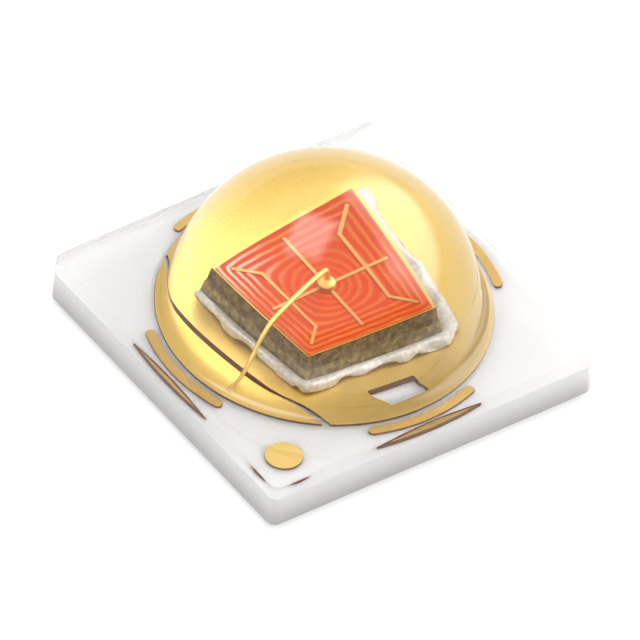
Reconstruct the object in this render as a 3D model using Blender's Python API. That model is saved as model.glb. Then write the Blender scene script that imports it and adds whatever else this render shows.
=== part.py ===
"""High power LED in a ceramic surface-mount package with a moulded silicone dome.

Lengths are metres and +Z is up. The origin is the centre of the underside, in the plane
of the solder pads. The package's sides lie along X and Y, the bond wire runs towards -X,
and the polarity dot marks the corner at -X, -Y.
"""
import math

import bmesh
import bpy
from mathutils import Matrix, Vector

MM = 0.001

# Fits
SEAT_GAP = 0.002 * MM             # between two pieces that meet
CUT_OVERRUN = 0.02 * MM           # how far a cutter runs past the face that it opens

# Ceramic plate
PACKAGE_SIDE = 3.45 * MM
PACKAGE_CORNER_RADIUS = 0.13 * MM
CERAMIC_THICKNESS = 0.323 * MM
CERAMIC_EDGE_BREAK = 0.015 * MM

# Solder pads under the plate
PAD_THICKNESS = 0.03 * MM
PAD_MARGIN = 0.1 * MM             # bare ceramic between the pads and the plate's edge
PAD_CORNER_RADIUS = 0.05 * MM
TERMINAL_PAD_WIDTH = 0.5 * MM
THERMAL_PAD_WIDTH = 1.35 * MM

# Filled holes through the plate
VIA_RADIUS = 0.075 * MM
VIA_INSET = 0.135 * MM            # from a terminal pad's inner edge, towards the plate's edge
VIA_SPREAD = 0.32 * MM            # from the centre line, along Y

# Plated metal on the plate
LAND_THICKNESS = 0.048 * MM
LAND_EDGE_ROUND = 0.006 * MM
LAND_MARGIN = 0.245 * MM          # from the lands' rim to the plate's sides
SLOT_SHARE = 0.56                 # middle of the slot between the lands, as a share of their radius
SLOT_WIDTH = 0.06 * MM
WINDOW_SHARE = 0.7                # middle of the window, as a share of the lands' radius
WINDOW_LENGTH = 0.385 * MM
WINDOW_WIDTH = 0.445 * MM
WINDOW_CORNER_RADIUS = 0.025 * MM
MARK_GAP = 0.058 * MM             # bare ceramic between the disc's rim and an arc mark
MARK_WIDTH = 0.09 * MM
MARK_HALF_SPAN = math.radians(19)
DOT_RADIUS = 0.17 * MM
DOT_GAP = 0.283 * MM              # bare ceramic between the disc's rim and the dot
DOT_HEADING = math.radians(224.6)

# Chip and the silver paste that holds it
CHIP_SIDE = 1.04 * MM
CARRIER_THICKNESS = 0.215 * MM
CARRIER_STEP_HEIGHT = 0.11 * MM   # where the first dicing cut stopped
CARRIER_STEP_WIDTH = 0.008 * MM
MIRROR_THICKNESS = 0.008 * MM
EMITTER_THICKNESS = 0.01 * MM
EMITTER_BORDER = 0.024 * MM       # mirror left bare round the emitting layer
EMITTER_EDGE_SLOPE = 0.006 * MM
BOND_LINE = 0.012 * MM            # paste under the chip
BEAD_WIDTH = 0.07 * MM
BEAD_HEIGHT = 0.055 * MM
BEAD_WALL_HEIGHT = 0.045 * MM     # paste against the chip's wall
POCKET_CORNER_RADIUS = 0.012 * MM  # of the paste's pocket, which still clears the chip's corner
BEAD_PEAK_SHARE = 0.45            # where the bead is highest, from the chip outwards
# Waves in the bead's width: how many go round the chip, their size as a share of it, and phase
BEAD_WAVES = ((1, 0.45, 2.36), (2, 0.2, 1.57), (5, 0.08, 0.9), (11, 0.13, 0.4), (19, 0.08, 2.1))

# Metal fingers on the chip
FINGER_THICKNESS = 0.004 * MM
FINGER_WIDTH = 0.022 * MM
FINGER_REACH = 0.41 * MM          # the cross and the diagonals, along X and Y
FINGER_LINE_OFFSET = 0.278 * MM   # the two long lines, from the centre
BALL_PAD_RADIUS = 0.06 * MM

# Bond wire
WIRE_RADIUS = 0.018 * MM
BALL_RADIUS = 0.062 * MM
BALL_HEIGHT = 0.045 * MM
# Shares of the ball's height and of its radius, from its foot to the wire's neck
BALL_PROFILE = ((0.0, 0.78), (0.3, 1.0), (0.65, 0.94), (1.0, 0.5))
STITCH_PAST_SLOT = 0.48 * MM      # the stitch's end, beyond the middle of the slot
STITCH_Y = -0.43 * MM
STITCH_HALF_WIDTH = 0.034 * MM
STITCH_HALF_HEIGHT = 0.006 * MM
STITCH_LENGTH = 0.09 * MM
# Share of the way from the ball's axis to the stitch's end, and height of the wire's middle
# above the chip's fingers
LOOP_ROUTE = (
    (0.0, 0.072 * MM),
    (0.004, 0.112 * MM),
    (0.013, 0.14 * MM),
    (0.04, 0.157 * MM),
    (0.145, 0.172 * MM),
    (0.275, 0.172 * MM),
    (0.406, 0.163 * MM),
    (0.5, 0.145 * MM),
)
# Share of the same way, and height of the wire's middle above the lands
LANDING_ROUTE = (
    (0.582, 0.33 * MM),
    (0.626, 0.262 * MM),
    (0.67, 0.2 * MM),
    (0.735, 0.135 * MM),
    (0.8, 0.082 * MM),
    (0.865, 0.045 * MM),
)

# Silicone lens and the film moulded with it
FILM_THICKNESS = 0.158 * MM
FILM_EDGE_ROUND = 0.03 * MM
DOME_SHARE = 0.404                # the sphere's radius, as a share of the plate's side
DOME_CENTRE_RISE = 0.09 * MM      # the sphere's centre above the lands
DOME_FOOT_ROUND = 0.14 * MM

# Facets
SIDE_STEPS = 9                    # from the middle of a side to the start of its corner
CORNER_STEPS = 6
RING_STEPS = 4 * (2 * SIDE_STEPS + CORNER_STEPS)
ARC_STEPS = 80
EDGE_STEPS = 3
DOME_RINGS = 16
ROUND_STEPS = 32
WIRE_SIDES = 12
WIRE_STEPS_PER_SPAN = 3
SMOOTH_ANGLE = math.radians(35)

# Places worked out from the sizes above
PAD_LENGTH = PACKAGE_SIDE - 2 * PAD_MARGIN
TERMINAL_PAD_OFFSET = PACKAGE_SIDE / 2 - PAD_MARGIN - TERMINAL_PAD_WIDTH / 2
VIA_OFFSET = TERMINAL_PAD_OFFSET - TERMINAL_PAD_WIDTH / 2 + VIA_INSET
LAND_RADIUS = PACKAGE_SIDE / 2 - LAND_MARGIN
SLOT_OFFSET = LAND_RADIUS * SLOT_SHARE
WINDOW_CENTRE = (0.0, -LAND_RADIUS * WINDOW_SHARE)
MARK_RADIUS = LAND_RADIUS + MARK_GAP + MARK_WIDTH / 2
DOT_DISTANCE = LAND_RADIUS + DOT_GAP + DOT_RADIUS
DOT_CENTRE = (DOT_DISTANCE * math.cos(DOT_HEADING), DOT_DISTANCE * math.sin(DOT_HEADING))
DOME_RADIUS = PACKAGE_SIDE * DOME_SHARE
STITCH_END = (-SLOT_OFFSET - STITCH_PAST_SLOT, STITCH_Y)

# Heights of the stack, worked out from the thicknesses above
CERAMIC_BASE = PAD_THICKNESS + SEAT_GAP
CERAMIC_TOP = CERAMIC_BASE + CERAMIC_THICKNESS
LAND_BASE = CERAMIC_TOP + SEAT_GAP
LAND_TOP = LAND_BASE + LAND_THICKNESS
PASTE_BASE = LAND_TOP + SEAT_GAP
CARRIER_BASE = PASTE_BASE + BOND_LINE + SEAT_GAP
MIRROR_BASE = CARRIER_BASE + CARRIER_THICKNESS + SEAT_GAP
EMITTER_BASE = MIRROR_BASE + MIRROR_THICKNESS + SEAT_GAP
FINGER_BASE = EMITTER_BASE + EMITTER_THICKNESS + SEAT_GAP
FINGER_TOP = FINGER_BASE + FINGER_THICKNESS
BALL_BASE = FINGER_TOP + SEAT_GAP
FILM_BASE = CERAMIC_TOP + SEAT_GAP
FILM_TOP = FILM_BASE + FILM_THICKNESS
DOME_CENTRE = LAND_TOP + DOME_CENTRE_RISE
MIRROR_SIDE = CHIP_SIDE - 2 * CARRIER_STEP_WIDTH
EMITTER_SIDE = MIRROR_SIDE - 2 * EMITTER_BORDER


# Scene and materials

def clear_scene():
    for item in list(bpy.data.objects):
        bpy.data.objects.remove(item)


def make_material(name, colour, roughness, metallic=0.0, transmission=0.0, ior=1.5):
    material = bpy.data.materials.new(name)
    material.use_nodes = True
    material.diffuse_color = (*colour, 1.0)
    shader = material.node_tree.nodes["Principled BSDF"]
    shader.inputs["Base Color"].default_value = (*colour, 1.0)
    shader.inputs["Roughness"].default_value = roughness
    shader.inputs["Metallic"].default_value = metallic
    shader.inputs["Transmission Weight"].default_value = transmission
    shader.inputs["IOR"].default_value = ior
    return material


def add_node(name, mesh, material, package, height=0.0):
    """Places a sub-part over the package's centre at the height of its seat."""
    piece = bpy.data.objects.new(name, mesh)
    bpy.context.scene.collection.objects.link(piece)
    piece.parent = package
    piece.location.z = height
    if material and not mesh.materials:
        mesh.materials.append(material)
    return piece


def add_cutter(name, mesh, package, height=0.0):
    cutter = add_node(name, mesh, None, package, height)
    cutter.hide_render = True
    cutter.display_type = "WIRE"
    return cutter


def combine(piece, other, operation="DIFFERENCE", own_bodies_cross=False):
    modifier = piece.modifiers.new(operation.title() + " " + other.name, "BOOLEAN")
    modifier.operation = operation
    modifier.solver = "EXACT"
    modifier.use_self = own_bodies_cross
    modifier.object = other


# Outlines, as lists of points that run anticlockwise

def arc(centre, radius, start, end, steps):
    """Points along an arc, both ends included."""
    points = []
    for step in range(steps + 1):
        angle = start + (end - start) * step / steps
        points.append((centre[0] + radius * math.cos(angle), centre[1] + radius * math.sin(angle)))
    return points


def circle(radius, steps):
    return arc((0.0, 0.0), radius, 0.0, math.tau, steps)[:-1]


def rounded_square_point(index, half, radius):
    """One of RING_STEPS points round a rounded square, from the middle of its +X side."""
    quarter, step = divmod(index, 2 * SIDE_STEPS + CORNER_STEPS)
    straight = half - radius
    if step < SIDE_STEPS:
        point = (half, straight * step / SIDE_STEPS)
    elif step < SIDE_STEPS + CORNER_STEPS:
        angle = math.pi / 2 * (step - SIDE_STEPS) / CORNER_STEPS
        point = (straight + radius * math.cos(angle), straight + radius * math.sin(angle))
    else:
        point = (straight * (1 - (step - SIDE_STEPS - CORNER_STEPS) / SIDE_STEPS), half)
    return tuple(Matrix.Rotation(quarter * math.pi / 2, 2) @ Vector(point))


def rounded_square(half, radius):
    return [rounded_square_point(index, half, radius) for index in range(RING_STEPS)]


def rounded_rectangle(length, width, radius, steps=CORNER_STEPS):
    """A rectangle centred on the origin, with its length along X."""
    inner_x = length / 2 - radius
    inner_y = width / 2 - radius
    corners = ((inner_x, inner_y), (-inner_x, inner_y), (-inner_x, -inner_y), (inner_x, -inner_y))
    points = []
    for quarter, corner in enumerate(corners):
        start = quarter * math.pi / 2
        points += arc(corner, radius, start, start + math.pi / 2, steps)
    return points


def square(side):
    half = side / 2
    return [(half, -half), (half, half), (-half, half), (-half, -half)]


def die_land_outline(grow):
    """The disc's larger part, from the slot to the +X rim."""
    radius = LAND_RADIUS + grow
    chord = SLOT_OFFSET - SLOT_WIDTH / 2 + grow
    angle = math.acos(-chord / radius)
    return arc((0.0, 0.0), radius, -angle, angle, ARC_STEPS)


def wire_land_outline(grow):
    """The crescent beyond the slot, on the -X side."""
    radius = LAND_RADIUS + grow
    chord = SLOT_OFFSET + SLOT_WIDTH / 2 - grow
    angle = math.acos(-chord / radius)
    return arc((0.0, 0.0), radius, angle, math.tau - angle, ARC_STEPS // 2)


def arc_mark_outline(grow):
    """A strip that follows the disc, with round ends, about the +X axis."""
    end_radius = MARK_WIDTH / 2 + grow
    quarter = math.pi / 2
    upper_end = (MARK_RADIUS * math.cos(MARK_HALF_SPAN), MARK_RADIUS * math.sin(MARK_HALF_SPAN))
    lower_end = (upper_end[0], -upper_end[1])
    points = arc((0.0, 0.0), MARK_RADIUS + end_radius, -MARK_HALF_SPAN, MARK_HALF_SPAN, ROUND_STEPS)
    points += arc(upper_end, end_radius, MARK_HALF_SPAN, MARK_HALF_SPAN + 2 * quarter, CORNER_STEPS)[1:-1]
    points += arc((0.0, 0.0), MARK_RADIUS - end_radius, MARK_HALF_SPAN, -MARK_HALF_SPAN, ROUND_STEPS)
    points += arc(lower_end, end_radius, 2 * quarter - MARK_HALF_SPAN, 4 * quarter - MARK_HALF_SPAN,
                  CORNER_STEPS)[1:-1]
    return points


# Solids

def loft(name, rings, tip=None):
    """A closed body through rings of equal counts, from the underside to the top.

    Each ring is a list of points. The last one is capped flat, or drawn to a tip.
    """
    body = bmesh.new()
    loops = [[body.verts.new(point) for point in ring] for ring in rings]
    for lower, upper in zip(loops, loops[1:]):
        for index, corner in enumerate(lower):
            following = (index + 1) % len(lower)
            body.faces.new((corner, lower[following], upper[following], upper[index]))
    top = loops[-1]
    if tip is not None:
        apex = body.verts.new(tip)
        for index, corner in enumerate(top):
            body.faces.new((corner, top[(index + 1) % len(top)], apex))
    for face in body.faces:
        face.smooth = True
    body.faces.new(reversed(loops[0]))
    if tip is None:
        body.faces.new(top)
    mesh = bpy.data.meshes.new(name)
    body.to_mesh(mesh)
    body.free()
    mesh.set_sharp_from_angle(angle=SMOOTH_ANGLE)
    return mesh


def at_height(outline, height):
    return [(x, y, height) for x, y in outline]


def prism(name, outline, base, top):
    return loft(name, [at_height(outline, base), at_height(outline, top)])


def plated_solid(name, outline, grow=0.0):
    """Plated metal whose upper edge is rounded, or the pocket that it leaves in the silicone."""
    if grow:
        return prism(name, outline(grow), -CUT_OVERRUN, LAND_THICKNESS + grow)
    rings = [at_height(outline(0.0), 0.0)]
    for step in range(EDGE_STEPS + 1):
        angle = math.pi / 2 * step / EDGE_STEPS
        inset = LAND_EDGE_ROUND * (1 - math.cos(angle))
        height = LAND_THICKNESS - LAND_EDGE_ROUND * (1 - math.sin(angle))
        rings.append(at_height(outline(-inset), height))
    return loft(name, rings)


def window_solid(name, shrink=0.0):
    outline = rounded_rectangle(WINDOW_LENGTH - 2 * shrink, WINDOW_WIDTH - 2 * shrink,
                                WINDOW_CORNER_RADIUS - shrink)
    placed = [(x + WINDOW_CENTRE[0], y + WINDOW_CENTRE[1]) for x, y in outline]
    return prism(name, placed, -2 * CUT_OVERRUN, LAND_THICKNESS + 2 * CUT_OVERRUN)


def ceramic_solid():
    half = PACKAGE_SIDE / 2
    broken_half = half - CERAMIC_EDGE_BREAK
    broken_radius = PACKAGE_CORNER_RADIUS - CERAMIC_EDGE_BREAK
    return loft("ceramic_substrate", [
        at_height(rounded_square(broken_half, broken_radius), 0.0),
        at_height(rounded_square(half, PACKAGE_CORNER_RADIUS), CERAMIC_EDGE_BREAK),
        at_height(rounded_square(half, PACKAGE_CORNER_RADIUS), CERAMIC_THICKNESS),
    ])


def carrier_solid():
    """The chip's base, narrower above the step that the first dicing cut left."""
    return loft("chip_carrier", [
        at_height(square(CHIP_SIDE), 0.0),
        at_height(square(CHIP_SIDE), CARRIER_STEP_HEIGHT),
        at_height(square(MIRROR_SIDE), CARRIER_STEP_HEIGHT),
        at_height(square(MIRROR_SIDE), CARRIER_THICKNESS),
    ])


def emitter_solid():
    """The thin emitting layer, etched with sloping sides."""
    return loft("light_emitting_layer", [
        at_height(square(EMITTER_SIDE), 0.0),
        at_height(square(EMITTER_SIDE - 2 * EMITTER_EDGE_SLOPE), EMITTER_THICKNESS),
    ])


def bead_ring(spread, height, grow):
    """A ring of the paste bead: its spread is a share of the bead's width, which waves."""
    half = CHIP_SIDE / 2 + SEAT_GAP + POCKET_CORNER_RADIUS * (1 - math.sqrt(0.5))
    points = []
    for index in range(RING_STEPS):
        turn = math.tau * index / RING_STEPS
        swell = 1 + sum(size * math.sin(count * turn + phase) for count, size, phase in BEAD_WAVES)
        offset = BEAD_WIDTH * spread * swell + grow
        x, y = rounded_square_point(index, half + offset, POCKET_CORNER_RADIUS + offset)
        points.append((x, y, height * (math.sqrt(swell) if spread else 1.0) + grow))
    return points


def bead_rings(grow=0.0):
    """The bead from its foot on the land, over its crest, to the chip's wall."""
    foot = [(x, y, -CUT_OVERRUN if grow else 0.0) for x, y, _ in bead_ring(1.0, 0.0, grow)]
    rings = [foot]
    for step in range(1, EDGE_STEPS + 1):
        angle = math.pi / 2 * step / EDGE_STEPS
        spread = BEAD_PEAK_SHARE + (1 - BEAD_PEAK_SHARE) * math.cos(angle)
        rings.append(bead_ring(spread, BEAD_HEIGHT * math.sin(angle), grow))
    rings.append(bead_ring(0.0, BEAD_WALL_HEIGHT, grow))
    return rings


def paste_solid():
    """The paste under the chip and the bead that it squeezed out all round."""
    rings = bead_rings()
    rings.append([(x, y, BOND_LINE) for x, y, _ in rings[-1]])
    return loft("die_attach", rings)


def chip_pocket_solid():
    """The space that the bead and the chip above it take in the silicone."""
    rings = bead_rings(SEAT_GAP)
    rings.append([(x, y, FINGER_TOP + SEAT_GAP - PASTE_BASE) for x, y, _ in rings[-1]])
    return loft("chip_pocket", rings)


def finger_bars_mesh():
    """The bars that cross the emitting layer, as bodies that still pass through each other."""
    reach = FINGER_REACH
    line = FINGER_LINE_OFFSET
    runs = [((-reach, 0.0), (reach, 0.0)), ((0.0, -reach), (0.0, reach))]
    for side in (-1, 1):
        runs.append(((side * line, -line), (side * line, line)))
        for end in (-1, 1):
            runs.append(((side * line, end * line), (side * reach, end * reach)))
    bars = bmesh.new()
    for start, end in runs:
        start, end = Vector(start), Vector(end)
        along = (end - start).normalized() * FINGER_WIDTH / 2
        across = Vector((-along.y, along.x))
        corners = (start - along - across, end + along - across,
                   end + along + across, start - along + across)
        base = bars.faces.new([bars.verts.new((*corner, 0.0)) for corner in corners])
        sides = bmesh.ops.extrude_face_region(bars, geom=[base])["geom"]
        raised = [item for item in sides if isinstance(item, bmesh.types.BMVert)]
        bmesh.ops.translate(bars, verts=raised, vec=(0.0, 0.0, FINGER_THICKNESS))
    bmesh.ops.recalc_face_normals(bars, faces=bars.faces)
    mesh = bpy.data.meshes.new("finger_bars")
    bars.to_mesh(mesh)
    bars.free()
    return mesh


def smooth_route(points, steps):
    """Points of a smooth curve through a route's own points."""
    route = [Vector(point) for point in points]
    route = [2 * route[0] - route[1]] + route + [2 * route[-1] - route[-2]]
    curve = []
    for before, start, end, after in zip(route, route[1:], route[2:], route[3:]):
        for step in range(steps):
            share = step / steps
            curve.append(0.5 * (2 * start + (end - before) * share
                                + (2 * before - 5 * start + 4 * end - after) * share ** 2
                                + (3 * start - before - 3 * end + after) * share ** 3))
    curve.append(route[-2])
    return curve


def wire_centre_line():
    """The wire's middle in its own upright plane, from the ball's top to the stitch."""
    span = math.hypot(*STITCH_END)
    ball_top = BALL_BASE + BALL_HEIGHT
    points = [(0.0, ball_top)]
    points += [(share * span, FINGER_TOP + height) for share, height in LOOP_ROUTE]
    points += [(share * span, LAND_TOP + height) for share, height in LANDING_ROUTE]
    foot = LAND_TOP + SEAT_GAP
    points.append((span - STITCH_LENGTH, foot + WIRE_RADIUS))
    points.append((span, foot + STITCH_HALF_HEIGHT))
    return smooth_route(points, WIRE_STEPS_PER_SPAN)


def wire_section(along, height, direction, half_width, half_height):
    """A ring across the wire, anticlockwise seen from ahead. The loop's plane is local X and Z."""
    normal = Vector((direction.y, -direction.x))
    points = []
    for step in range(WIRE_SIDES):
        angle = math.tau * step / WIRE_SIDES
        side = half_width * math.sin(angle)
        lift = normal * half_height * math.cos(angle)
        points.append((along + lift.x, side, height + lift.y))
    return points


def wire_solid(name, grow=0.0):
    """The ball, the loop and the stitch, drawn from one wire."""
    upright = Vector((0.0, 1.0))
    rings = []
    for level, share in BALL_PROFILE:
        height = BALL_BASE + BALL_HEIGHT * level
        if grow and level == 0.0:
            height -= SEAT_GAP + CUT_OVERRUN
        radius = BALL_RADIUS * share + grow
        rings.append(wire_section(0.0, height, upright, radius, radius))
    line = wire_centre_line()
    stitch_start = math.hypot(*STITCH_END) - STITCH_LENGTH
    for index in range(1, len(line)):
        point = line[index]
        ahead = line[min(index + 1, len(line) - 1)]
        direction = (ahead - line[index - 1]).normalized()
        flat = max(0.0, (point.x - stitch_start) / STITCH_LENGTH)
        half_width = WIRE_RADIUS + (STITCH_HALF_WIDTH - WIRE_RADIUS) * flat
        half_height = WIRE_RADIUS + (STITCH_HALF_HEIGHT - WIRE_RADIUS) * flat
        ring = wire_section(point.x, point.y, direction, half_width + grow, half_height + grow)
        if grow:
            ring = [(x, y, z if z > LAND_TOP + 2 * SEAT_GAP else LAND_TOP - CUT_OVERRUN) for x, y, z in ring]
        rings.append(ring)
    return loft(name, rings)


def lens_solid():
    """The film over the plate and the dome that rises from it, as one skin."""
    half = PACKAGE_SIDE / 2
    rings = [at_height(rounded_square(half, PACKAGE_CORNER_RADIUS), FILM_BASE)]
    for step in range(EDGE_STEPS + 1):
        angle = math.pi / 2 * step / EDGE_STEPS
        inset = FILM_EDGE_ROUND * (1 - math.cos(angle))
        height = FILM_TOP - FILM_EDGE_ROUND * (1 - math.sin(angle))
        rings.append(at_height(rounded_square(half - inset, PACKAGE_CORNER_RADIUS - inset), height))
    foot_height = FILM_TOP + DOME_FOOT_ROUND - DOME_CENTRE
    reach = DOME_RADIUS + DOME_FOOT_ROUND
    foot_centre = (math.sqrt(reach ** 2 - foot_height ** 2), foot_height + DOME_CENTRE)
    meet = math.asin(foot_height / reach)
    for radius, height in arc(foot_centre, DOME_FOOT_ROUND, -math.pi / 2, -math.pi + meet, EDGE_STEPS):
        rings.append(at_height(circle(radius, RING_STEPS), height))
    profile = arc((0.0, DOME_CENTRE), DOME_RADIUS, meet, math.pi / 2, DOME_RINGS)
    for radius, height in profile[1:-1]:
        rings.append(at_height(circle(radius, RING_STEPS), height))
    return loft("silicone_lens", rings, tip=(0.0, 0.0, DOME_CENTRE + DOME_RADIUS))


# Sub-parts

def build_substrate(package, ceramic, copper):
    plate = add_node("ceramic_substrate", ceramic_solid(), ceramic, package, CERAMIC_BASE)
    hole_mesh = prism("via_hole", circle(VIA_RADIUS + SEAT_GAP, ROUND_STEPS), -CUT_OVERRUN,
                      CERAMIC_THICKNESS + CUT_OVERRUN)
    via_mesh = prism("via", circle(VIA_RADIUS, ROUND_STEPS), 0.0, CERAMIC_THICKNESS)
    for terminal, side in (("cathode", -1), ("anode", 1)):
        for number, end in ((1, -1), (2, 1)):
            place = Vector((side * VIA_OFFSET, end * VIA_SPREAD, CERAMIC_BASE))
            hole = add_cutter(f"{terminal}_via_{number}_hole", hole_mesh, package)
            hole.location = place
            combine(plate, hole)
            via = add_node(f"{terminal}_via_{number}", via_mesh, copper, package)
            via.location = place


def build_pads(package, gold):
    terminal = prism("terminal_pad", rounded_rectangle(TERMINAL_PAD_WIDTH, PAD_LENGTH, PAD_CORNER_RADIUS),
                     0.0, PAD_THICKNESS)
    thermal = prism("thermal_pad", rounded_rectangle(THERMAL_PAD_WIDTH, PAD_LENGTH, PAD_CORNER_RADIUS),
                    0.0, PAD_THICKNESS)
    add_node("cathode_pad", terminal, gold, package).location.x = -TERMINAL_PAD_OFFSET
    add_node("anode_pad", terminal, gold, package).location.x = TERMINAL_PAD_OFFSET
    add_node("thermal_pad", thermal, gold, package)


def build_lands(package, gold, lens):
    """The plated pieces on top of the plate, and the pockets that they leave in the silicone."""
    die_land = add_node("die_land", plated_solid("die_land", die_land_outline), gold, package, LAND_BASE)
    combine(die_land, add_cutter("window_hole", window_solid("window_hole"), package, LAND_BASE))
    die_pocket = add_cutter("die_land_pocket", plated_solid("die_land_pocket", die_land_outline, SEAT_GAP),
                            package, LAND_BASE)
    combine(die_pocket, add_cutter("window_plug", window_solid("window_plug", SEAT_GAP), package, LAND_BASE))
    combine(lens, die_pocket)

    add_node("wire_bond_land", plated_solid("wire_bond_land", wire_land_outline), gold, package, LAND_BASE)
    combine(lens, add_cutter("wire_bond_land_pocket",
                             plated_solid("wire_bond_land_pocket", wire_land_outline, SEAT_GAP),
                             package, LAND_BASE))

    mark_mesh = plated_solid("arc_mark", arc_mark_outline)
    pocket_mesh = plated_solid("arc_mark_pocket", arc_mark_outline, SEAT_GAP)
    for quarter, side in enumerate(("right", "back", "left", "front")):
        turn = quarter * math.pi / 2
        add_node(f"arc_mark_{side}", mark_mesh, gold, package, LAND_BASE).rotation_euler.z = turn
        pocket = add_cutter(f"arc_mark_{side}_pocket", pocket_mesh, package, LAND_BASE)
        pocket.rotation_euler.z = turn
        combine(lens, pocket)

    def dot_outline(grow):
        return circle(DOT_RADIUS + grow, ROUND_STEPS)

    dot = add_node("polarity_dot", plated_solid("polarity_dot", dot_outline), gold, package)
    dot.location = (*DOT_CENTRE, LAND_BASE)
    dot_pocket = add_cutter("polarity_dot_pocket",
                            plated_solid("polarity_dot_pocket", dot_outline, SEAT_GAP), package)
    dot_pocket.location = dot.location
    combine(lens, dot_pocket)


def build_chip(package, finishes, lens):
    add_node("die_attach", paste_solid(), finishes["silver paste"], package, PASTE_BASE)
    combine(lens, add_cutter("chip_pocket", chip_pocket_solid(), package, PASTE_BASE))
    add_node("chip_carrier", carrier_solid(), finishes["diced chip"], package, CARRIER_BASE)
    add_node("chip_mirror", prism("chip_mirror", square(MIRROR_SIDE), 0.0, MIRROR_THICKNESS),
             finishes["gold"], package, MIRROR_BASE)
    add_node("light_emitting_layer", emitter_solid(), finishes["red crystal"], package, EMITTER_BASE)

    ball_pad = prism("chip_top_electrode", circle(BALL_PAD_RADIUS, ROUND_STEPS), 0.0, FINGER_THICKNESS)
    electrode = add_node("chip_top_electrode", ball_pad, finishes["gold"], package, FINGER_BASE)
    bars = add_cutter("finger_bars", finger_bars_mesh(), package, FINGER_BASE)
    combine(electrode, bars, "UNION", own_bodies_cross=True)


def build_wire(package, gold, lens):
    heading = math.atan2(STITCH_END[1], STITCH_END[0])
    add_node("bond_wire", wire_solid("bond_wire"), gold, package).rotation_euler.z = heading
    tunnel = add_cutter("bond_wire_tunnel", wire_solid("bond_wire_tunnel", SEAT_GAP), package)
    tunnel.rotation_euler.z = heading
    combine(lens, tunnel)


def build_package():
    package = bpy.data.objects.new("package", None)
    bpy.context.scene.collection.objects.link(package)
    finishes = {
        "ceramic": make_material("fired white ceramic", (0.9, 0.9, 0.89), 0.5),
        "copper": make_material("plated copper fill", (0.8, 0.38, 0.2), 0.4, metallic=1.0),
        "gold": make_material("matte gold plate", (0.82, 0.55, 0.17), 0.35, metallic=1.0),
        "silver paste": make_material("cured silver paste", (0.78, 0.77, 0.74), 0.45, metallic=0.6),
        "diced chip": make_material("diced germanium", (0.13, 0.11, 0.07), 0.55, metallic=0.2),
        "red crystal": make_material("red emitting crystal", (0.75, 0.1, 0.05), 0.4),
        "silicone": make_material("clear moulded silicone", (1.0, 1.0, 1.0), 0.03,
                                  transmission=1.0, ior=1.53),
    }
    lens = add_node("silicone_lens", lens_solid(), finishes["silicone"], package)
    build_substrate(package, finishes["ceramic"], finishes["copper"])
    build_pads(package, finishes["gold"])
    build_lands(package, finishes["gold"], lens)
    build_chip(package, finishes, lens)
    build_wire(package, finishes["gold"], lens)


clear_scene()
build_package()
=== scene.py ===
"""High power LED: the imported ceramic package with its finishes, its clear lens and a studio."""

import math

import bmesh
import bpy
from mathutils import Matrix, Vector, noise


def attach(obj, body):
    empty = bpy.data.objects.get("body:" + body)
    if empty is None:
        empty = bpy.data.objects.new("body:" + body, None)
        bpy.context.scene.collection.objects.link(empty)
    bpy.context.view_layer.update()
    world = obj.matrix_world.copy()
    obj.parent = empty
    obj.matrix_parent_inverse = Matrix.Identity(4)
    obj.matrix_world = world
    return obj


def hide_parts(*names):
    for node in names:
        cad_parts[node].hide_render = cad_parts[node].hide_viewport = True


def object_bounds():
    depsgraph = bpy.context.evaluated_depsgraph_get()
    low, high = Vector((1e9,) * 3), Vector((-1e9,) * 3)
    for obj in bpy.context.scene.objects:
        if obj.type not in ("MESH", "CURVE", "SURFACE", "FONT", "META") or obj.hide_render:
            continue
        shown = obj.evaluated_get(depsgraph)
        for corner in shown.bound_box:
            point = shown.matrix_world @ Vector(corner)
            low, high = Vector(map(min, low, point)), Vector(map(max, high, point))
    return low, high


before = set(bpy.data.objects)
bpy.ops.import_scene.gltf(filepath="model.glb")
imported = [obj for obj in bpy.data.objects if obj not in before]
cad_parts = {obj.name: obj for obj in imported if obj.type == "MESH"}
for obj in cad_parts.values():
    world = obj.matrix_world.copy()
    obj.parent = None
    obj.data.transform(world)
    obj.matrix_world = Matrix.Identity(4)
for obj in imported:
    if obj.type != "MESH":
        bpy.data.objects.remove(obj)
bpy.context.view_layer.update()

MM = 0.001
SAME_PLACE = 1e-6 * MM            # points closer than this are one
SMOOTH_ANGLE = math.radians(35)   # an edge that turns by more than this stays sharp

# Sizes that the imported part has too. Tops, bases and the dome's centre are heights above the pads' feet.
PACKAGE_SIDE = 3.45 * MM
PLATE_BASE = 0.032 * MM
CERAMIC_TOP = 0.355 * MM
LAND_TOP = 0.405 * MM
FILM_TOP = 0.515 * MM
DOME_CENTRE = 0.495 * MM
DOME_RADIUS = 0.404 * PACKAGE_SIDE
DOME_FOOT_ROUND = 0.14 * MM
CHIP_SIDE = 1.04 * MM
SAW_STEP = 0.53 * MM              # where the chip's first saw cut stopped
CRYSTAL_TOP = 0.658 * MM
CRYSTAL_THICKNESS = 0.01 * MM

# Sizes fitted to the photograph once more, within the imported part's box
PLATE_CORNER_RADIUS = 0.09 * MM
PLATE_EDGE_ROUND = 0.035 * MM
FILM_EDGE_ROUND = 0.022 * MM
CRYSTAL_SIDE = 0.994 * MM
CRYSTAL_SHIFT = 0.007 * MM        # towards the chip's front corner, along X and along Y
PASTE_CLEAR = 0.006 * MM          # paste nearer to the chip or the land than this stays where it is
PASTE_SPREAD = 0.018 * MM         # at the chip's sides; twice that at its front corner
PASTE_LUMPS = ((0.17 * MM, 0.05 * MM), (0.06 * MM, 0.028 * MM))       # size across and depth

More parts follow.
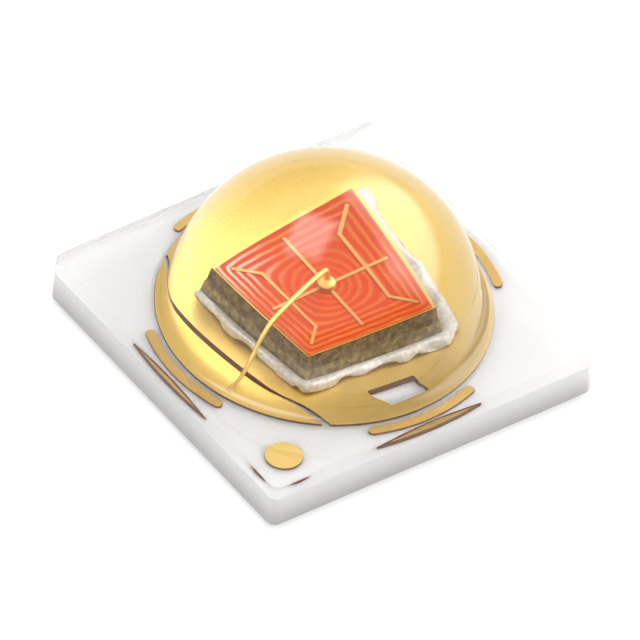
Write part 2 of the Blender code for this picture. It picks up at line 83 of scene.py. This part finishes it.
# Sizes of the patterns in the finishes
ALUMINA_CLOUD = 0.5 * MM
ALUMINA_GLOW = 0.12 * MM          # how far light sinks into the ceramic
PLATING_CLOUD = 0.3 * MM
PLATING_GRAIN = 0.016 * MM        # the real grain of a few microns wouldn't show, so it is drawn coarser
PLATING_GRAIN_DEPTH = 0.003 * MM
ETCHED_WALL = 0.2                 # a face whose normal rises by less than this is a dark brown wall
PLATED_FACE = 0.6                 # and one whose normal rises by more than this is fully plated
SILVER_FLAKE = 0.03 * MM          # drawn coarser than the real flakes, which wouldn't show
PASTE_GRAIN = 0.04 * MM
PASTE_GRAIN_DEPTH = 0.009 * MM
SAW_GRIT = 0.045 * MM
SAW_GRIT_DEPTH = 0.012 * MM
SAW_GRIT_DARK = 0.4               # the noise values that read as the darkest and the palest grit
SAW_GRIT_PALE = 0.62
SAW_BLEND = 0.02 * MM             # half the height over which the two cuts' colours meet
RIPPLE_PITCH = 0.05 * MM
RIPPLE_DEPTH = 0.002 * MM
RIPPLE_WANDER = 0.12 * MM         # size of the patches in which the ripples bend and fade
RIPPLE_BEND = 4.0                 # how far they bend, in radians of a ripple
RIPPLE_TROUGH = -0.3              # the part of each wave below this stays plain red
RIPPLES_ROUND = 0.12 * MM         # round nearer to the middle than this
RIPPLES_SQUARE = 0.34 * MM        # square beyond this
RIPPLES_FAINT = 0.1 * MM          # faint nearer to the middle than this
RIPPLES_STRONG = 0.4 * MM         # strong beyond this
RIPPLES_FAINT_SHARE = 0.35        # strength of the faint ones, as a share of the strong ones'
RIPPLE_CORNER = 0.05 * MM         # rounding of the square ripples' corners
# A painted glint: the ripples near this corner are painted pale
PAINTED_GLINT_CORNER = (-0.42 * MM, 0.42 * MM, 0.0)
PAINTED_GLINT_CORE = 0.02 * MM
PAINTED_GLINT_REACH = 0.34 * MM
PAINTED_GLINT_SHARE = 0.85            # how much of the painted glint's pale colour the core's ripples take

# Making of the new pieces
LENS_BURIED = 0.006 * MM          # how deep the film's foot is sunk in the plate, so that no air shows
LENS_BURIED_INSET = 0.01 * MM     # keeps the buried wall inside the plate's own wall
SHADING_BAND = 0.004 * MM         # narrow flat band that keeps a rounded edge's shading to itself
CORNER_STEPS = 12
CIRCLE_STEPS = 144
DOME_STEPS = 48
EDGE_STEPS = 8
WIRE_LEVELS = 2
PASTE_LEVELS = 1

# Studio
CAMERA_AZIMUTH = math.radians(-38.65)
CAMERA_ELEVATION = math.radians(43.39)
CAMERA_ROLL = math.radians(-5.61)
CAMERA_DISTANCE = 30 * MM
CAMERA_NEAR = 1 * MM
CAMERA_FAR = 1000 * MM
PIXELS_PER_MM = 114.0
PHOTO_SIDE = 640
DOME_PIXEL = (324.5, 305.0)       # where the photograph has the middle of the dome's sphere
FLOOR_HALF_SIDE = 150 * MM
FLOOR_GAP = 0.001 * MM            # keeps the pads' undersides clear of the floor
FLOOR_GLOW = 0.62                 # brings the lit floor up to white where it is seen
SKY_LIGHT = 0.88                  # the even light on the object
SKY_SEEN = 1.0                    # what gold and glass mirror, and what the camera sees
SOFT_EDGE = 0.35                  # share of a softbox's half size over which its edge fades
# The key from the back right, a small top light, and two grey cards, one behind and one at the front
# right. Azimuth, elevation, half width and half height are in degrees. The last number is the
# brightness, where 1 is white paper, and a card's is below 0, because it takes light away.
SOFTBOXES = (
    (-2, 35, 36, 22, 3.4),
    (121, 75, 16, 13, 4.6),
    (76, 25, 26, 12, -0.55),
    (-92, 13, 48, 17, -0.75),
)


# Colours, nodes and pieces

def linear(hex_colour):
    """An sRGB hex colour as linear red, green, blue and alpha."""
    channels = [int(hex_colour[place:place + 2], 16) / 255 for place in (1, 3, 5)]
    return (*(value / 12.92 if value <= 0.04045 else ((value + 0.055) / 1.055) ** 2.4
              for value in channels), 1.0)


def add(tree, kind, settings=None, sockets=None):
    """Adds a node. A socket is named or numbered, and takes a value or another node's output.

    A colour Mix has its factor at 0 and its colours at 6 and 7, and a plain Mix its values at 2 and 3.
    """
    node = tree.nodes.new("ShaderNode" + kind)
    for name, value in (settings or {}).items():
        setattr(node, name, value)
    for name, value in (sockets or {}).items():
        if isinstance(value, bpy.types.NodeSocket):
            tree.links.new(value, node.inputs[name])
        else:
            node.inputs[name].default_value = value
    return node


def new_material(name):
    """A material with no nodes yet, and the tree to build it in."""
    material = bpy.data.materials.new(name)
    material.use_nodes = True
    material.node_tree.nodes.clear()
    return material, material.node_tree


def link_piece(name, body, material, slot, *nodes):
    """Turns a finished bmesh into a piece of the package, in place of the named nodes."""
    for face in body.faces:
        face.smooth = True
    mesh = bpy.data.meshes.new(name)
    body.to_mesh(mesh)
    body.free()
    mesh.set_sharp_from_angle(angle=SMOOTH_ANGLE)
    mesh.materials.append(material)
    piece = bpy.data.objects.new(name, mesh)
    bpy.context.scene.collection.objects.link(piece)
    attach(piece, "root")
    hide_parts(*nodes)
    return piece


def dress(material, *nodes):
    """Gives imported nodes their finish."""
    for name in nodes:
        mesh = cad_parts[name].data
        mesh.materials.clear()
        mesh.materials.append(material)


# Finishes

def fired_alumina():
    """Fired white alumina, pressed and sintered: a dense matte white that light sinks into a little.

    Its edges glow softly and its faces show faint clouds. The walls were cut from above and snapped;
    their greyer colour towards the foot is painted shade.
    """
    material, tree = new_material("fired_white_alumina")
    place = add(tree, "TexCoord").outputs["Object"]
    cloud = add(tree, "TexNoise", sockets={"Vector": place, "Scale": 1 / ALUMINA_CLOUD, "Detail": 3.0})
    pale = add(tree, "Mix", {"data_type": "RGBA"}, {
        0: cloud.outputs["Fac"], 6: linear("#FAFAF9"), 7: linear("#FDFDFC")})
    height = add(tree, "SeparateXYZ", sockets={0: place})
    # Painted shade: the walls are painted greyer towards the foot
    painted_foot_shade = add(tree, "MapRange", {"interpolation_type": "SMOOTHSTEP"}, {
        "Value": height.outputs["Z"], "From Min": PLATE_BASE, "From Max": CERAMIC_TOP})
    tint = add(tree, "Mix", {"data_type": "RGBA"}, {
        0: painted_foot_shade.outputs[0], 6: linear("#DCDAD8"), 7: pale.outputs[2]})
    shader = add(tree, "BsdfPrincipled", sockets={
        "Base Color": tint.outputs[2], "Roughness": 0.5, "IOR": 1.6, "Subsurface Weight": 1.0,
        "Subsurface Radius": (1.0, 0.97, 0.92), "Subsurface Scale": ALUMINA_GLOW})
    add(tree, "OutputMaterial", sockets={"Surface": shader.outputs["BSDF"]})
    return material


def matte_gold_plate(name, darker, lighter):
    """Immersion gold over nickel on ceramic: the ceramic's grain shows through as a satin gold.

    The walls that the etch left are coloured dark brown and not metallic, so they read as a dark brown line.
    """
    material, tree = new_material(name)
    place = add(tree, "TexCoord").outputs["Object"]
    cloud = add(tree, "TexNoise", sockets={"Vector": place, "Scale": 1 / PLATING_CLOUD, "Detail": 5.0})
    gold = add(tree, "Mix", {"data_type": "RGBA"}, {
        0: cloud.outputs["Fac"], 6: linear(darker), 7: linear(lighter)})
    facing = add(tree, "SeparateXYZ", sockets={0: add(tree, "NewGeometry").outputs["True Normal"]})
    rise = add(tree, "Math", {"operation": "ABSOLUTE"}, {0: facing.outputs["Z"]})
    level = add(tree, "MapRange", sockets={
        "Value": rise.outputs[0], "From Min": ETCHED_WALL, "From Max": PLATED_FACE})
    tint = add(tree, "Mix", {"data_type": "RGBA"}, {
        0: level.outputs[0], 6: linear("#7E4A1C"), 7: gold.outputs[2]})
    grain = add(tree, "TexNoise", sockets={"Vector": place, "Scale": 1 / PLATING_GRAIN, "Detail": 2.0})
    relief = add(tree, "Bump", sockets={
        "Strength": 0.35, "Distance": PLATING_GRAIN_DEPTH, "Height": grain.outputs["Fac"]})
    shader = add(tree, "BsdfPrincipled", sockets={
        "Base Color": tint.outputs[2], "Metallic": level.outputs[0], "Roughness": 0.54,
        "Specular IOR Level": 0.15, "Normal": relief.outputs["Normal"]})
    add(tree, "OutputMaterial", sockets={"Surface": shader.outputs["BSDF"]})
    return material


def drawn_gold_wire():
    """Drawn gold wire: fine gold, bright and even, with a soft shine along its length."""
    material, tree = new_material("drawn_gold_wire")
    shader = add(tree, "BsdfPrincipled", sockets={
        "Base Color": linear("#FFDA7C"), "Metallic": 1.0, "Roughness": 0.5})
    add(tree, "OutputMaterial", sockets={"Surface": shader.outputs["BSDF"]})
    return material


def cured_silver_paste():
    """Silver-filled epoxy, squeezed out and cured: bright flakes in a pale grey paste."""
    material, tree = new_material("cured_silver_paste")
    place = add(tree, "TexCoord").outputs["Object"]
    flakes = add(tree, "TexVoronoi", sockets={"Vector": place, "Scale": 1 / SILVER_FLAKE})
    tint = add(tree, "Mix", {"data_type": "RGBA"}, {
        0: flakes.outputs["Distance"], 6: linear("#EEE8DD"), 7: linear("#CBC3B5")})
    grain = add(tree, "TexNoise", sockets={"Vector": place, "Scale": 1 / PASTE_GRAIN, "Detail": 4.0})
    relief = add(tree, "Bump", sockets={
        "Strength": 0.5, "Distance": PASTE_GRAIN_DEPTH, "Height": grain.outputs["Fac"]})
    shader = add(tree, "BsdfPrincipled", sockets={
        "Base Color": tint.outputs[2], "Metallic": 0.2, "Roughness": 0.4,
        "Normal": relief.outputs["Normal"]})
    add(tree, "OutputMaterial", sockets={"Surface": shader.outputs["BSDF"]})
    return material


def sawn_germanium():
    """Germanium wafer, sawn into chips: rough olive-brown walls, darker above the step between two cuts."""
    material, tree = new_material("sawn_germanium")
    place = add(tree, "TexCoord").outputs["Object"]
    grit = add(tree, "TexNoise", sockets={
        "Vector": place, "Scale": 1 / SAW_GRIT, "Detail": 5.0, "Roughness": 0.65})
    spread = add(tree, "MapRange", sockets={
        "Value": grit.outputs["Fac"], "From Min": SAW_GRIT_DARK, "From Max": SAW_GRIT_PALE})
    upper = add(tree, "Mix", {"data_type": "RGBA"}, {
        0: spread.outputs[0], 6: linear("#513A1A"), 7: linear("#96794A")})
    lower = add(tree, "Mix", {"data_type": "RGBA"}, {
        0: spread.outputs[0], 6: linear("#7C6634"), 7: linear("#BCA36C")})
    height = add(tree, "SeparateXYZ", sockets={0: place})
    cut = add(tree, "MapRange", sockets={
        "Value": height.outputs["Z"], "From Min": SAW_STEP - SAW_BLEND, "From Max": SAW_STEP + SAW_BLEND})
    tint = add(tree, "Mix", {"data_type": "RGBA"}, {
        0: cut.outputs[0], 6: lower.outputs[2], 7: upper.outputs[2]})
    relief = add(tree, "Bump", sockets={
        "Strength": 0.8, "Distance": SAW_GRIT_DEPTH, "Height": grit.outputs["Fac"]})
    shader = add(tree, "BsdfPrincipled", sockets={
        "Base Color": tint.outputs[2], "Roughness": 0.5, "IOR": 1.9, "Normal": relief.outputs["Normal"]})
    add(tree, "OutputMaterial", sockets={"Surface": shader.outputs["BSDF"]})
    return material


def red_emitting_crystal():
    """Red emitting crystal, a few microns thick over its mirror: an even salmon red when it is off.

    The etch left fine ripples that run square along the edges and round about the middle. Near one
    corner the ripples are painted pale, as a painted glint.
    """
    material, tree = new_material("red_emitting_crystal")
    place = add(tree, "TexCoord").outputs["Object"]
    # Distance from the middle, round near it and square towards the edges
    flat = add(tree, "VectorMath", {"operation": "MULTIPLY"}, {0: place, 1: (1.0, 1.0, 0.0)})
    positive = add(tree, "VectorMath", {"operation": "ABSOLUTE"}, {0: flat.outputs[0]})
    along = add(tree, "SeparateXYZ", sockets={0: positive.outputs[0]})
    square = add(tree, "Math", {"operation": "SMOOTH_MAX"}, {
        0: along.outputs["X"], 1: along.outputs["Y"], 2: RIPPLE_CORNER})
    round_way = add(tree, "VectorMath", {"operation": "LENGTH"}, {0: flat.outputs[0]})
    squareness = add(tree, "MapRange", sockets={
        "Value": square.outputs[0], "From Min": RIPPLES_ROUND, "From Max": RIPPLES_SQUARE})
    reach = add(tree, "Mix", sockets={
        0: squareness.outputs[0], 2: round_way.outputs["Value"], 3: square.outputs[0]})
    # Ripples over that distance, bent a little from place to place
    wander = add(tree, "TexNoise", sockets={"Vector": place, "Scale": 1 / RIPPLE_WANDER, "Detail": 3.0})
    phase = add(tree, "Math", {"operation": "MULTIPLY"}, {
        0: reach.outputs[0], 1: math.tau / RIPPLE_PITCH})
    bent = add(tree, "Math", {"operation": "MULTIPLY_ADD"}, {
        0: wander.outputs["Fac"], 1: RIPPLE_BEND, 2: phase.outputs[0]})
    wave = add(tree, "Math", {"operation": "SINE"}, {0: bent.outputs[0]})
    ripple = add(tree, "MapRange", sockets={
        "Value": wave.outputs[0], "From Min": RIPPLE_TROUGH, "From Max": 1.0})
    strength = add(tree, "MapRange", sockets={
        "Value": square.outputs[0], "From Min": RIPPLES_FAINT, "From Max": RIPPLES_STRONG,
        "To Min": RIPPLES_FAINT_SHARE, "To Max": 1.0})
    uneven = add(tree, "Math", {"operation": "MULTIPLY"}, {
        0: strength.outputs[0], 1: wander.outputs["Fac"]})
    patchy = add(tree, "Math", {"operation": "MULTIPLY"}, {0: ripple.outputs[0], 1: uneven.outputs[0]})
    red = add(tree, "Mix", {"data_type": "RGBA"}, {
        0: patchy.outputs[0], 6: linear("#D44408"), 7: linear("#E6923E")})
    # A painted glint: the ripples near one corner are painted pale
    corner = add(tree, "VectorMath", {"operation": "DISTANCE"}, {0: flat.outputs[0], 1: PAINTED_GLINT_CORNER})
    near = add(tree, "MapRange", sockets={
        "Value": corner.outputs["Value"], "From Min": PAINTED_GLINT_CORE, "From Max": PAINTED_GLINT_REACH,
        "To Min": PAINTED_GLINT_SHARE, "To Max": 0.0})
    painted_glint = add(tree, "Math", {"operation": "MULTIPLY", "use_clamp": True}, {
        0: ripple.outputs[0], 1: near.outputs[0]})
    tint = add(tree, "Mix", {"data_type": "RGBA"}, {
        0: painted_glint.outputs[0], 6: red.outputs[2], 7: linear("#FFDCC4")})
    relief = add(tree, "Bump", sockets={
        "Strength": 0.3, "Distance": RIPPLE_DEPTH, "Height": wave.outputs[0]})
    shader = add(tree, "BsdfPrincipled", sockets={
        "Base Color": tint.outputs[2], "Roughness": 0.3, "Specular IOR Level": 0.12,
        "Normal": relief.outputs["Normal"]})
    add(tree, "OutputMaterial", sockets={"Surface": shader.outputs["BSDF"]})
    return material


def evaporated_contact():
    """Evaporated contact metal: thin tan lines, duller than the wire that lands on them."""
    material, tree = new_material("evaporated_contact_metal")
    shader = add(tree, "BsdfPrincipled", sockets={
        "Base Color": linear("#DDA05A"), "Metallic": 0.5, "Roughness": 0.5})
    add(tree, "OutputMaterial", sockets={"Surface": shader.outputs["BSDF"]})
    return material


def plated_copper():
    """Plated copper fill: dull metal, hidden in the plate's holes."""
    material, tree = new_material("plated_copper")
    shader = add(tree, "BsdfPrincipled", sockets={
        "Base Color": linear("#C98A66"), "Metallic": 1.0, "Roughness": 0.4})
    add(tree, "OutputMaterial", sockets={"Surface": shader.outputs["BSDF"]})
    return material


def clear_silicone():
    """Optical silicone, moulded in a polished tool: as clear and as smooth as glass."""
    material, tree = new_material("clear_moulded_silicone")
    shader = add(tree, "BsdfPrincipled", sockets={
        "Base Color": linear("#FFFFFF"), "Roughness": 0.0, "IOR": 1.53, "Transmission Weight": 1.0})
    add(tree, "OutputMaterial", sockets={"Surface": shader.outputs["BSDF"]})
    return material


# The ceramic plate and the clear lens

def corners_in(geometry):
    return [part for part in geometry if isinstance(part, bmesh.types.BMVert)]


def edges_at(body, height):
    """Edges that lie level at one height."""
    return [edge for edge in body.edges
            if all(abs(corner.co.z - height) < SAME_PLACE for corner in edge.verts)]


def plate_outline(body, height):
    """The plate's outline as one level face: a square with rounded corners."""
    corners = bmesh.ops.create_grid(body, x_segments=1, y_segments=1, size=PACKAGE_SIDE / 2)["verts"]
    bmesh.ops.bevel(body, geom=corners, affect="VERTICES", offset=PLATE_CORNER_RADIUS,
                    segments=CORNER_STEPS, profile=0.5, material=-1)
    bmesh.ops.translate(body, verts=body.verts, vec=(0.0, 0.0, height))


def ceramic_plate():
    """The plate, with its lower edge rounded by tumbling."""
    body = bmesh.new()
    plate_outline(body, PLATE_BASE)
    raised = bmesh.ops.extrude_face_region(body, geom=body.faces[:])["geom"]
    bmesh.ops.translate(body, verts=corners_in(raised), vec=(0.0, 0.0, CERAMIC_TOP - PLATE_BASE))
    bmesh.ops.recalc_face_normals(body, faces=body.faces)
    bmesh.ops.bevel(body, geom=edges_at(body, PLATE_BASE), affect="EDGES", offset=PLATE_EDGE_ROUND,
                    segments=EDGE_STEPS, profile=0.5, material=-1)
    return body


def film_block(body):
    """The film: a rounded square with a rounded upper edge, open where the dome joins it."""
    plate_outline(body, CERAMIC_TOP - LENS_BURIED)
    foot = body.verts[:]
    buried = bmesh.ops.extrude_face_region(body, geom=body.faces[:])["geom"]
    bmesh.ops.translate(body, verts=corners_in(buried), vec=(0.0, 0.0, LENS_BURIED))
    inner = [part for part in buried if isinstance(part, bmesh.types.BMFace)]
    raised = bmesh.ops.extrude_face_region(body, geom=inner)["geom"]
    bmesh.ops.translate(body, verts=corners_in(raised), vec=(0.0, 0.0, FILM_TOP - CERAMIC_TOP))
    bmesh.ops.delete(body, geom=inner, context="FACES_ONLY")
    share = 1 - 2 * LENS_BURIED_INSET / PACKAGE_SIDE
    bmesh.ops.scale(body, verts=foot, vec=(share, share, 1.0))
    bmesh.ops.bevel(body, geom=edges_at(body, FILM_TOP), affect="EDGES", offset=FILM_EDGE_ROUND,
                    segments=EDGE_STEPS, profile=0.5, material=-1)
    top = [face for face in body.faces if face.calc_center_median().z > FILM_TOP - SAME_PLACE]
    bmesh.ops.inset_region(body, faces=top, thickness=SHADING_BAND)
    bmesh.ops.delete(body, geom=top, context="FACES_ONLY")


def dome_skin(body):
    """The dome and its filleted foot: one section, turned about the middle."""
    foot_height = FILM_TOP + DOME_FOOT_ROUND - DOME_CENTRE
    reach = DOME_RADIUS + DOME_FOOT_ROUND
    meet = math.asin(foot_height / reach)
    foot_centre = (math.cos(meet) * reach, 0.0, FILM_TOP + DOME_FOOT_ROUND)
    start = body.verts.new((0.0, 0.0, DOME_CENTRE + DOME_RADIUS))
    film_corners = set(body.verts) - {start}
    across = (0.0, 1.0, 0.0)
    last = bmesh.ops.spin(body, geom=[start], cent=(0.0, 0.0, DOME_CENTRE), axis=across,
                          angle=math.pi / 2 - meet, steps=DOME_STEPS)["geom_last"]
    last = bmesh.ops.spin(body, geom=last, cent=foot_centre, axis=across, angle=meet - math.pi / 2,
                          steps=EDGE_STEPS)["geom_last"]
    band = bmesh.ops.extrude_vert_indiv(body, verts=corners_in(last))["verts"]
    bmesh.ops.translate(body, verts=band, vec=(SHADING_BAND, 0.0, 0.0))
    section = [corner for corner in body.verts if corner not in film_corners]
    section += [edge for edge in body.edges if not edge.link_faces]
    bmesh.ops.spin(body, geom=section, cent=(0.0, 0.0, 0.0), axis=(0.0, 0.0, 1.0), angle=math.tau,
                   steps=CIRCLE_STEPS, use_merge=True)
    bmesh.ops.remove_doubles(body, verts=body.verts, dist=SAME_PLACE)


def dome_and_film():
    """Film, foot and dome as one closed skin."""
    body = bmesh.new()
    film_block(body)
    dome_skin(body)
    bmesh.ops.bridge_loops(body, edges=[edge for edge in body.edges if edge.is_boundary])
    bmesh.ops.recalc_face_normals(body, faces=body.faces)
    return body


# The chip's crystal, its paste and its wire

def merged_copy(node):
    """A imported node's mesh with its loose triangles joined up."""
    body = bmesh.new()
    body.from_mesh(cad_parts[node].data)
    bmesh.ops.remove_doubles(body, verts=body.verts, dist=SAME_PLACE)
    return body


def rounded_wire():
    """The wire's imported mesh, as quads that a subdivision rounds off."""
    body = merged_copy("bond_wire")
    bmesh.ops.join_triangles(body, faces=body.faces, angle_face_threshold=SMOOTH_ANGLE,
                             angle_shape_threshold=SMOOTH_ANGLE)
    return body


def etched_crystal():
    """The red crystal: thin, with sloping sides, set a little towards the chip's front corner."""
    body = bmesh.new()
    bmesh.ops.create_grid(body, x_segments=1, y_segments=1, size=CRYSTAL_SIDE / 2)
    top = corners_in(bmesh.ops.extrude_face_region(body, geom=body.faces[:])["geom"])
    slope = 1 - 2 * CRYSTAL_THICKNESS / CRYSTAL_SIDE
    bmesh.ops.scale(body, verts=top, vec=(slope, slope, 1.0))
    bmesh.ops.translate(body, verts=top, vec=(0.0, 0.0, CRYSTAL_THICKNESS))
    bmesh.ops.translate(body, verts=body.verts, vec=(
        -CRYSTAL_SHIFT, -CRYSTAL_SHIFT, CRYSTAL_TOP - CRYSTAL_THICKNESS))
    bmesh.ops.recalc_face_normals(body, faces=body.faces)
    return body


def squeezed_paste():
    """The paste's packed bead, pushed out in lumps as the chip was set down, most at its front corner."""
    body = merged_copy("die_attach")
    wall = CHIP_SIDE / 2
    for corner in body.verts:
        nearest = Vector((min(max(corner.co.x, -wall), wall), min(max(corner.co.y, -wall), wall), 0.0))
        outwards = Vector((corner.co.x, corner.co.y, 0.0)) - nearest
        if outwards.length < PASTE_CLEAR:
            continue
        towards_front = 1 - (corner.co.x + corner.co.y) / CHIP_SIDE
        push = PASTE_SPREAD * towards_front
        push += sum(noise.noise(corner.co / size) * depth for size, depth in PASTE_LUMPS)
        lift = push / 2 if corner.co.z > LAND_TOP + PASTE_CLEAR else 0.0
        corner.co += outwards.normalized() * push + Vector((0.0, 0.0, lift))
    return body


def subdivide(piece, levels):
    rounding = piece.modifiers.new("rounding", "SUBSURF")
    rounding.levels = levels
    rounding.render_levels = levels


# The studio's making

def photo_camera():
    """A camera without perspective, at the photograph's angle, with the dome's middle at its place."""
    right = Vector((math.cos(CAMERA_AZIMUTH), math.sin(CAMERA_AZIMUTH), 0.0))
    ahead = Vector((-math.sin(CAMERA_AZIMUTH) * math.cos(CAMERA_ELEVATION),
                    math.cos(CAMERA_AZIMUTH) * math.cos(CAMERA_ELEVATION),
                    -math.sin(CAMERA_ELEVATION)))
    above = right.cross(ahead)
    image_x = math.cos(CAMERA_ROLL) * right - math.sin(CAMERA_ROLL) * above
    image_y = math.sin(CAMERA_ROLL) * right + math.cos(CAMERA_ROLL) * above
    data = bpy.data.cameras.new("photo_camera")
    data.type = "ORTHO"
    data.ortho_scale = PHOTO_SIDE / PIXELS_PER_MM * MM
    data.clip_start = CAMERA_NEAR
    data.clip_end = CAMERA_FAR
    camera = bpy.data.objects.new("photo_camera", data)
    bpy.context.scene.collection.objects.link(camera)
    middle = PHOTO_SIDE / 2
    target = Vector((0.0, 0.0, DOME_CENTRE))
    target += image_x * (middle - DOME_PIXEL[0]) / PIXELS_PER_MM * MM
    target -= image_y * (middle - DOME_PIXEL[1]) / PIXELS_PER_MM * MM
    camera.matrix_world = Matrix.Translation(target - ahead * CAMERA_DISTANCE) @ Matrix(
        (image_x, image_y, -ahead)).transposed().to_4x4()
    bpy.context.scene.camera = camera


def seen_directly(tree):
    """1 for a ray from the camera, off a gloss or through glass, and 0 for light on the object."""
    path = add(tree, "LightPath").outputs
    seen = add(tree, "Math", {"operation": "MAXIMUM"}, {0: path["Is Camera Ray"], 1: path["Is Glossy Ray"]})
    seen = add(tree, "Math", {"operation": "MAXIMUM"}, {
        0: seen.outputs[0], 1: path["Is Transmission Ray"]})
    return seen.outputs[0]


def pale_floor():
    """A pale matte floor that keeps the object's shadow and is white where it is seen."""
    material, tree = new_material("pale_studio_floor")
    paint = add(tree, "BsdfDiffuse", sockets={"Color": linear("#ADADAD")})
    strength = add(tree, "Math", {"operation": "MULTIPLY"}, {0: seen_directly(tree), 1: FLOOR_GLOW})
    glow = add(tree, "Emission", sockets={"Color": linear("#FFFFFF"), "Strength": strength.outputs[0]})
    both = add(tree, "AddShader", sockets={0: paint.outputs[0], 1: glow.outputs[0]})
    add(tree, "OutputMaterial", sockets={"Surface": both.outputs[0]})
    body = bmesh.new()
    bmesh.ops.create_grid(body, x_segments=1, y_segments=1, size=FLOOR_HALF_SIDE)
    mesh = bpy.data.meshes.new("studio_floor")
    body.to_mesh(mesh)
    body.free()
    mesh.materials.append(material)
    floor = bpy.data.objects.new("studio_floor", mesh)
    bpy.context.scene.collection.objects.link(floor)
    floor.location.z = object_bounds()[0].z - FLOOR_GAP


def softbox(tree, azimuth, elevation, half_width, half_height, brightness):
    """A rectangular soft light, or a grey card, far away in the sky."""
    azimuth, elevation = math.radians(azimuth), math.radians(elevation)
    towards = Vector((math.cos(azimuth) * math.cos(elevation), math.sin(azimuth) * math.cos(elevation),
                      math.sin(elevation)))
    across = Vector((-math.sin(azimuth), math.cos(azimuth), 0.0))
    upwards = towards.cross(across)
    way = add(tree, "TexCoord").outputs["Generated"]
    ahead = add(tree, "VectorMath", {"operation": "DOT_PRODUCT"}, {0: way, 1: towards}).outputs["Value"]
    level = add(tree, "Math", {"operation": "GREATER_THAN"}, {0: ahead, 1: 0.0}).outputs[0]
    for axis, half in ((across, half_width), (upwards, half_height)):
        aside = add(tree, "VectorMath", {"operation": "DOT_PRODUCT"}, {0: way, 1: axis}).outputs["Value"]
        slope = add(tree, "Math", {"operation": "DIVIDE"}, {0: aside, 1: ahead})
        off = add(tree, "Math", {"operation": "ABSOLUTE"}, {0: slope.outputs[0]})
        reach = math.tan(math.radians(half))
        inside = add(tree, "MapRange", {"interpolation_type": "SMOOTHSTEP"}, {
            "Value": off.outputs[0], "From Min": reach * (1 - SOFT_EDGE), "From Max": reach * (1 + SOFT_EDGE),
            "To Min": 1.0, "To Max": 0.0})
        level = add(tree, "Math", {"operation": "MULTIPLY"}, {0: level, 1: inside.outputs[0]}).outputs[0]
    return add(tree, "Math", {"operation": "MULTIPLY"}, {0: level, 1: brightness}).outputs[0]


def soft_world():
    """A pale, even sky with the softboxes in it. The camera sees it plain white."""
    world = bpy.data.worlds.new("soft_studio")
    bpy.context.scene.world = world
    world.use_nodes = True
    tree = world.node_tree
    tree.nodes.clear()
    total = add(tree, "MapRange", sockets={
        "Value": seen_directly(tree), "To Min": SKY_LIGHT, "To Max": SKY_SEEN}).outputs[0]
    for box in SOFTBOXES:
        total = add(tree, "Math", {"operation": "ADD"}, {0: total, 1: softbox(tree, *box)}).outputs[0]
    camera_ray = add(tree, "LightPath").outputs["Is Camera Ray"]
    strength = add(tree, "Mix", sockets={0: camera_ray, 2: total, 3: SKY_SEEN})
    sky = add(tree, "Background", sockets={
        "Color": linear("#FFFFFF"), "Strength": strength.outputs[0]})
    add(tree, "OutputWorld", sockets={"Surface": sky.outputs[0]})


# Making the scene

dress(matte_gold_plate("matte_gold_plate", "#E6C264", "#EFCF74"), "die_land", "wire_bond_land",
      "polarity_dot", "anode_pad", "cathode_pad", "thermal_pad", "chip_mirror")
# The narrow marks get a darker, browner copy of the gold plate: painted shade
dress(matte_gold_plate("painted_shade_gold_plate", "#CCA44F", "#D4B05C"), "arc_mark_left", "arc_mark_right",
      "arc_mark_front", "arc_mark_back")
dress(evaporated_contact(), "chip_top_electrode")
dress(plated_copper(), "anode_via_1", "anode_via_2", "cathode_via_1", "cathode_via_2")
dress(sawn_germanium(), "chip_carrier")

wire = link_piece("wire_ball_and_loop", rounded_wire(), drawn_gold_wire(), "gold_wire", "bond_wire")
subdivide(wire, WIRE_LEVELS)
paste = link_piece("squeezed_out_paste", squeezed_paste(), cured_silver_paste(), "silver_paste", "die_attach")
subdivide(paste, PASTE_LEVELS)
link_piece("etched_crystal", etched_crystal(), red_emitting_crystal(), "red_crystal", "light_emitting_layer")
link_piece("fired_plate", ceramic_plate(), fired_alumina(), "ceramic", "ceramic_substrate")
link_piece("clear_dome_and_film", dome_and_film(), clear_silicone(), "silicone", "silicone_lens")

photo_camera()
pale_floor()
soft_world()

bpy.context.scene.view_settings.view_transform = "Standard"
